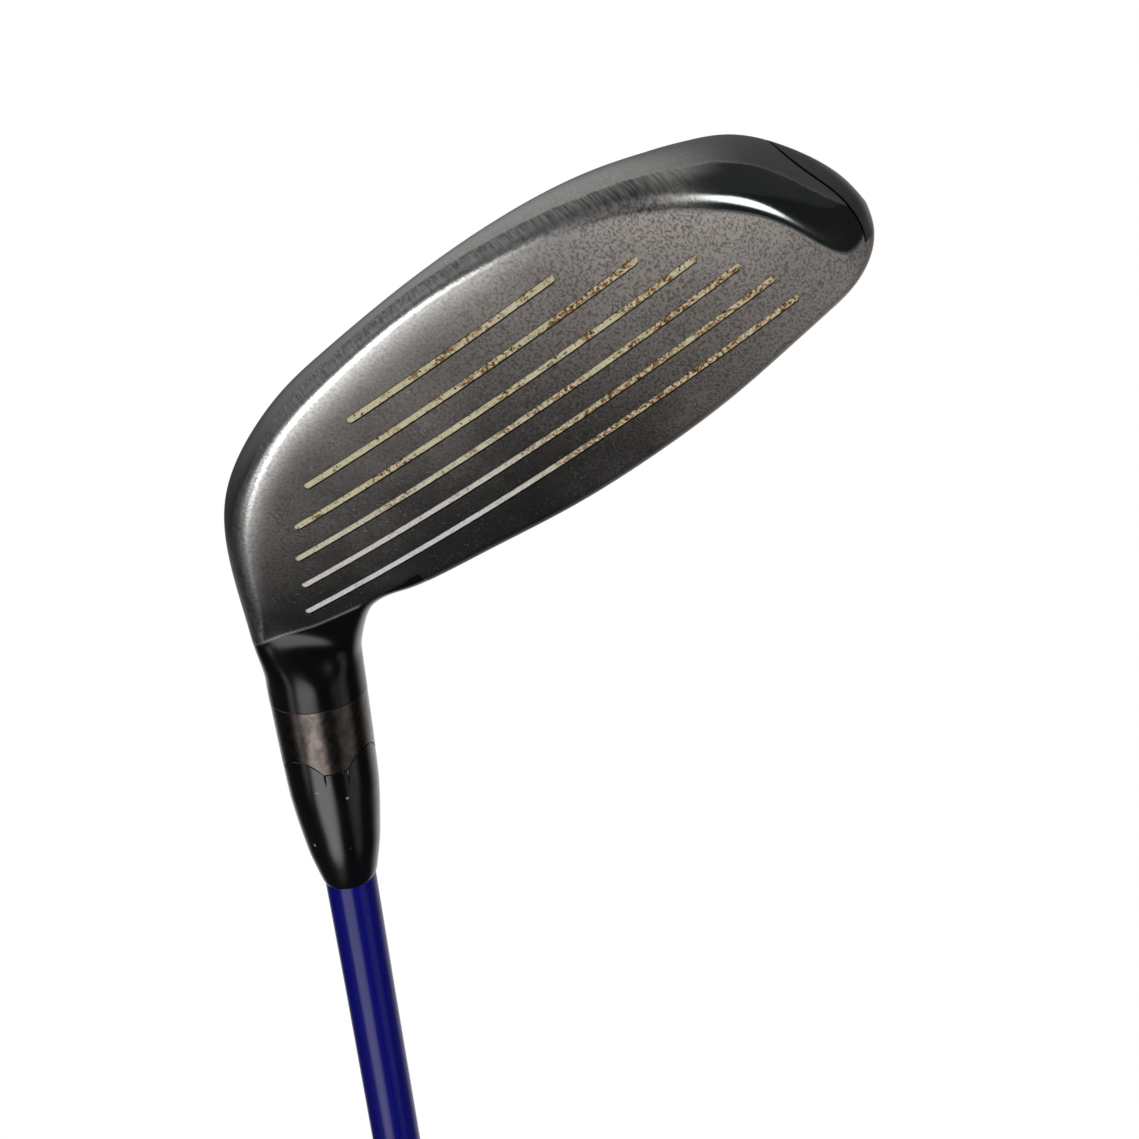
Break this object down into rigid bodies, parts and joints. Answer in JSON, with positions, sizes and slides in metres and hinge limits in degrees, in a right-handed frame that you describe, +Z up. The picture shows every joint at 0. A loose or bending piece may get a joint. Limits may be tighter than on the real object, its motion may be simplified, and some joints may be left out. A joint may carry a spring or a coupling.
{
  "type": "hybrid golf club",
  "caption": "Right-handed hybrid golf club with a hollow steel head, a milled score-line face, a screw-fixed adjustable hosel, a tapered graphite shaft and a rubber grip.",
  "frame": {"origin": "where the shaft axis meets the ground plane, with the club set at address", "axes": "+X from heel to toe, +Y towards the target (the face looks this way), +Z up"},
  "size_m": [0.6046, 0.0599, 0.8698],
  "materials": {
    "head_steel": "satin grey, fine brushed sole band with worn bright leading edge",
    "face_steel": "dark smoked steel, brushed across the score lines, worn and speckled",
    "crown_paint": "gloss black paint",
    "panel_satin": "satin grey",
    "weight_metal": "sintered grey",
    "fastener_steel": "satin",
    "seal_rubber": "matte",
    "clip_plastic": "moulded",
    "sleeve_aluminium": "dark anodised",
    "ring_anodised": "satin charcoal anodised",
    "ferrule_plastic": "polished black",
    "shaft_paint": "clear-coated deep blue over graphite",
    "tape_fabric": "masking tape",
    "grip_rubber": "moulded texture"
  },
  "bodies": {
    "shaft_unit": {"shaft": "shaft_paint", "tip_plug": "clip_plastic", "grip_tape": "tape_fabric", "grip": "grip_rubber", "grip_end_cap": "grip_rubber", "ferrule": "ferrule_plastic", "adapter_sleeve": "sleeve_aluminium", "sleeve_oring": "seal_rubber"},
    "ring": {"adjuster_ring": "ring_anodised"},
    "head": {"body_casting": "head_steel", "face_insert": "face_steel", "crown_plate": "crown_paint", "toe_panel": "panel_satin", "rear_weight": "weight_metal", "weight_bush": "fastener_steel", "hosel_screw_washer": "fastener_steel"},
    "hosel_screw_unit": {"hosel_screw": "fastener_steel", "screw_retainer": "clip_plastic"},
    "weight_seal": {"weight_washer": "seal_rubber"},
    "weight_unit": {"weight_screw": "fastener_steel"}
  },
  "joints": [
    {"name": "head_release", "type": "slide", "parent": "shaft_unit", "child": "head", "axis": [0.5075, 0, -0.8616], "range_m": [0, 0.0072]},
    {"name": "screw_turn", "type": "hinge", "parent": "head", "child": "hosel_screw_unit", "pos_m": [0, 0, 0], "axis": [0.5075, 0, -0.8616], "range_deg": [0, 3245]},
    {"name": "ring_release", "type": "slide", "parent": "shaft_unit", "child": "ring", "axis": [0.5075, 0, -0.8616], "range_m": [0, 0.00362]},
    {"name": "weight_release", "type": "slide", "parent": "head", "child": "weight_seal", "axis": [0.3592, -0.0998, -0.9279], "range_m": [0, 0.005]},
    {"name": "weight_turn", "type": "hinge", "parent": "weight_seal", "child": "weight_unit", "pos_m": [0.0675, -0.00768, 0.00703], "axis": [0.3592, -0.0998, -0.9279], "range_deg": [0, 1803]}
  ],
  "couplings": [
    {"joint": "screw_turn", "follows": "head_release", "rad_per_m": 7854},
    {"joint": "ring_release", "follows": "head_release", "ratio": 0.5},
    {"joint": "weight_turn", "follows": "weight_release", "rad_per_m": 6283.2}
  ]
}
